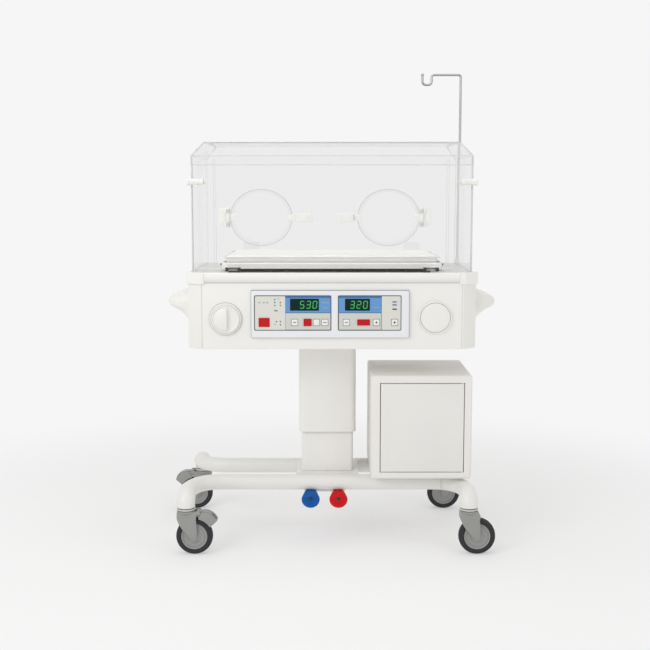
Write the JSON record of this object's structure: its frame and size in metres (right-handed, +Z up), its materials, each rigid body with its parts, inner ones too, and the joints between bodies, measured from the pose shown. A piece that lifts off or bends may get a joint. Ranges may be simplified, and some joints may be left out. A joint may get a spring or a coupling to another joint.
{
  "type": "infant incubator",
  "caption": "Infant incubator: clear hood with hand ports over a tilting mattress, control panel below, lifting column on a wheeled trolley with a cabinet and a drip pole.",
  "frame": {"origin": "On the floor, under the middle of the overall box at rest", "axes": "+X to the right as seen from the control panel, +Y to the back, +Z up"},
  "size_m": [1.1708, 0.616, 1.656],
  "materials": {
    "paint": "powder-coated off-white, satin",
    "shell": "moulded warm white, satin",
    "cabinet": "laminated off-white board, satin",
    "bezel": "cool white moulding",
    "module": "pale grey membrane panel",
    "plastic": "white moulding",
    "tray": "glossy white moulding",
    "mattress": "foam in a white cloth cover",
    "clear": "clear acrylic, see-through",
    "steel": "bright steel",
    "fork": "grey nylon",
    "hub": "grey nylon",
    "tyre": "dark rubber tread",
    "display": "dark green lens",
    "red": "red moulding",
    "blue": "blue moulding"
  },
  "bodies": {
    "trolley": {"front_tube": "paint", "rear_tube": "paint", "column_foot": "paint", "lower_column": "paint", "lift_actuator": "steel", "pedal_bracket": "steel", "cabinet_cradle": "steel", "cabinet_shell": "cabinet"},
    "upper": {"column_sleeve": "paint", "lift_rod": "steel", "tub": "shell", "deck": "shell", "handle_left": "shell", "handle_right": "shell", "control_bezel": "bezel", "left_module": "module", "right_module": "module", "left_display": "display", "right_display": "display", "fan_motor": "steel", "heater": "steel"},
    "up_pedal": {"pedal_up": "blue"},
    "down_pedal": {"pedal_down": "red"},
    "door": {"cabinet_door": "cabinet"},
    "power": {"power_switch": "red"},
    "left_key": {"red_key_left": "red"},
    "right_key": {"red_key_right": "red"},
    "knob": {"tilt_knob": "shell"},
    "cap": {"filter_cap": "shell"},
    "impeller": {"fan_impeller": "module"},
    "bed": {"mattress_tray": "tray", "mattress": "mattress"},
    "lifter": {"tilt_rod": "steel"},
    "pole": {"drip_pole": "steel"},
    "hood": {"hood_shell": "clear", "hood_hinge_left": "plastic", "hood_hinge_right": "plastic"},
    "panel": {"front_panel": "clear", "port_hinge_left": "plastic", "port_hinge_right": "plastic"},
    "left_port": {"port_door_left": "clear"},
    "right_port": {"port_door_right": "clear"},
    "left_port_latch": {"port_latch_left": "plastic"},
    "right_port_latch": {"port_latch_right": "plastic"},
    "left_panel_latch": {"panel_latch_left": "plastic"},
    "right_panel_latch": {"panel_latch_right": "plastic"},
    "fork_front_left": {"caster_fork_front_left": "fork"},
    "wheel_front_left": {"wheel_hub_front_left": "hub", "wheel_tyre_front_left": "tyre"},
    "brake_front_left": {"brake_pedal_front_left": "fork"},
    "fork_front_right": {"caster_fork_front_right": "fork"},
    "wheel_front_right": {"wheel_hub_front_right": "hub", "wheel_tyre_front_right": "tyre"},
    "fork_rear_left": {"caster_fork_rear_left": "fork"},
    "wheel_rear_left": {"wheel_hub_rear_left": "hub", "wheel_tyre_rear_left": "tyre"},
    "brake_rear_left": {"brake_pedal_rear_left": "fork"},
    "fork_rear_right": {"caster_fork_rear_right": "fork"},
    "wheel_rear_right": {"wheel_hub_rear_right": "hub", "wheel_tyre_rear_right": "tyre"}
  },
  "joints": [
    {"name": "swivel_front_left", "type": "hinge", "parent": "trolley", "child": "fork_front_left", "pos_m": [-0.4754, -0.277, 0.155], "axis": [0, 0, 1], "continuous": true},
    {"name": "roll_front_left", "type": "hinge", "parent": "fork_front_left", "child": "wheel_front_left", "pos_m": [-0.4474, -0.277, 0.0625], "axis": [0, 1, 0], "continuous": true},
    {"name": "brake_front_left", "type": "hinge", "parent": "fork_front_left", "child": "brake_front_left", "pos_m": [-0.4334, -0.277, 0.145], "axis": [0, 1, 0], "range_deg": [0, 10]},
    {"name": "swivel_front_right", "type": "hinge", "parent": "trolley", "child": "fork_front_right", "pos_m": [0.4846, -0.277, 0.155], "axis": [0, 0, 1], "continuous": true},
    {"name": "roll_front_right", "type": "hinge", "parent": "fork_front_right", "child": "wheel_front_right", "pos_m": [0.5126, -0.277, 0.0625], "axis": [0, 1, 0], "continuous": true},
    {"name": "swivel_rear_left", "type": "hinge", "parent": "trolley", "child": "fork_rear_left", "pos_m": [-0.4754, 0.277, 0.155], "axis": [0, 0, 1], "continuous": true},
    {"name": "roll_rear_left", "type": "hinge", "parent": "fork_rear_left", "child": "wheel_rear_left", "pos_m": [-0.5034, 0.277, 0.0625], "axis": [0, 1, 0], "continuous": true},
    {"name": "brake_rear_left", "type": "hinge", "parent": "fork_rear_left", "child": "brake_rear_left", "pos_m": [-0.5174, 0.277, 0.145], "axis": [0, -1, 0], "range_deg": [0, 10]},
    {"name": "swivel_rear_right", "type": "hinge", "parent": "trolley", "child": "fork_rear_right", "pos_m": [0.4846, 0.277, 0.155], "axis": [0, 0, 1], "continuous": true},
    {"name": "roll_rear_right", "type": "hinge", "parent": "fork_rear_right", "child": "wheel_rear_right", "pos_m": [0.4566, 0.277, 0.0625], "axis": [0, 1, 0], "continuous": true},
    {"name": "up_pedal_rock", "type": "hinge", "parent": "trolley", "child": "up_pedal", "pos_m": [-0.0539, -0.06, 0.16], "axis": [1, 0, 0], "range_deg": [0, 10], "stiffness_Nm_per_rad": 5, "springref_deg": -17.19},
    {"name": "down_pedal_rock", "type": "hinge", "parent": "trolley", "child": "down_pedal", "pos_m": [0.0431, -0.06, 0.16], "axis": [1, 0, 0], "range_deg": [0, 10], "stiffness_Nm_per_rad": 5, "springref_deg": -17.19},
    {"name": "door_swing", "type": "hinge", "parent": "trolley", "child": "door", "pos_m": [0.4666, -0.205, 0.42], "axis": [0, 0, 1], "range_deg": [0, 110]},
    {"name": "column_lift", "type": "slide", "parent": "trolley", "child": "upper", "axis": [0, 0, 1], "range_m": [-0.08, 0.12]},
    {"name": "power_press", "type": "slide", "parent": "upper", "child": "power", "axis": [0, 1, 0], "range_m": [0, 0.003], "stiffness_N_per_m": 300, "springref_m": -0.002},
    {"name": "left_key_press", "type": "slide", "parent": "upper", "child": "left_key", "axis": [0, 1, 0], "range_m": [0, 0.002], "stiffness_N_per_m": 300, "springref_m": -0.002},
    {"name": "right_key_press", "type": "slide", "parent": "upper", "child": "right_key", "axis": [0, 1, 0], "range_m": [0, 0.002], "stiffness_N_per_m": 300, "springref_m": -0.002},
    {"name": "knob_turn", "type": "hinge", "parent": "upper", "child": "knob", "pos_m": [-0.3366, -0.2553, 0.8012], "axis": [0, 1, 0], "range_deg": [0, 270]},
    {"name": "cap_turn", "type": "hinge", "parent": "upper", "child": "cap", "pos_m": [0.3653, -0.2553, 0.8063], "axis": [0, 1, 0], "range_deg": [0, 90]},
    {"name": "fan_spin", "type": "hinge", "parent": "upper", "child": "impeller", "pos_m": [0.1396, 0, 0.77], "axis": [0, 0, 1], "continuous": true},
    {"name": "bed_tilt", "type": "hinge", "parent": "upper", "child": "bed", "pos_m": [0.3496, 0, 0.963], "axis": [0, 1, 0], "range_deg": [0, 8]},
    {"name": "lifter_rise", "type": "slide", "parent": "upper", "child": "lifter", "axis": [0, 0, 1], "range_m": [0, 0.0895]},
    {"name": "pole_swing", "type": "hinge", "parent": "upper", "child": "pole", "pos_m": [0.4956, 0.22, 1], "axis": [0, 0, 1], "continuous": true},
    {"name": "hood_lift", "type": "hinge", "parent": "upper", "child": "hood", "pos_m": [0.0196, 0.248, 0.967], "axis": [-1, 0, 0], "range_deg": [0, 50]},
    {"name": "panel_drop", "type": "hinge", "parent": "hood", "child": "panel", "pos_m": [0.0196, -0.2525, 0.9691], "axis": [1, 0, 0], "range_deg": [0, 90]},
    {"name": "left_port_swing", "type": "hinge", "parent": "panel", "child": "left_port", "pos_m": [-0.3247, -0.2525, 1.139], "axis": [0, 0, -1], "range_deg": [0, 110]},
    {"name": "right_port_swing", "type": "hinge", "parent": "panel", "child": "right_port", "pos_m": [0.3166, -0.2525, 1.139], "axis": [0, 0, 1], "range_deg": [0, 110]},
    {"name": "left_port_latch_slide", "type": "slide", "parent": "panel", "child": "left_port_latch", "axis": [1, 0, 0], "range_m": [0, 0.005], "stiffness_N_per_m": 300, "springref_m": -0.002},
    {"name": "right_port_latch_slide", "type": "slide", "parent": "panel", "child": "right_port_latch", "axis": [-1, 0, 0], "range_m": [0, 0.005], "stiffness_N_per_m": 300, "springref_m": -0.002},
    {"name": "left_panel_latch_turn", "type": "hinge", "parent": "panel", "child": "left_panel_latch", "pos_m": [-0.4304, -0.2581, 1.257], "axis": [-1, 0, 0], "range_deg": [0, 90]},
    {"name": "right_panel_latch_turn", "type": "hinge", "parent": "panel", "child": "right_panel_latch", "pos_m": [0.4696, -0.2581, 1.257], "axis": [-1, 0, 0], "range_deg": [0, 90]}
  ],
  "couplings": [
    {"joint": "knob_turn", "follows": "bed_tilt", "ratio": 33.75},
    {"joint": "lifter_rise", "follows": "bed_tilt", "m_per_rad": 0.64}
  ]
}
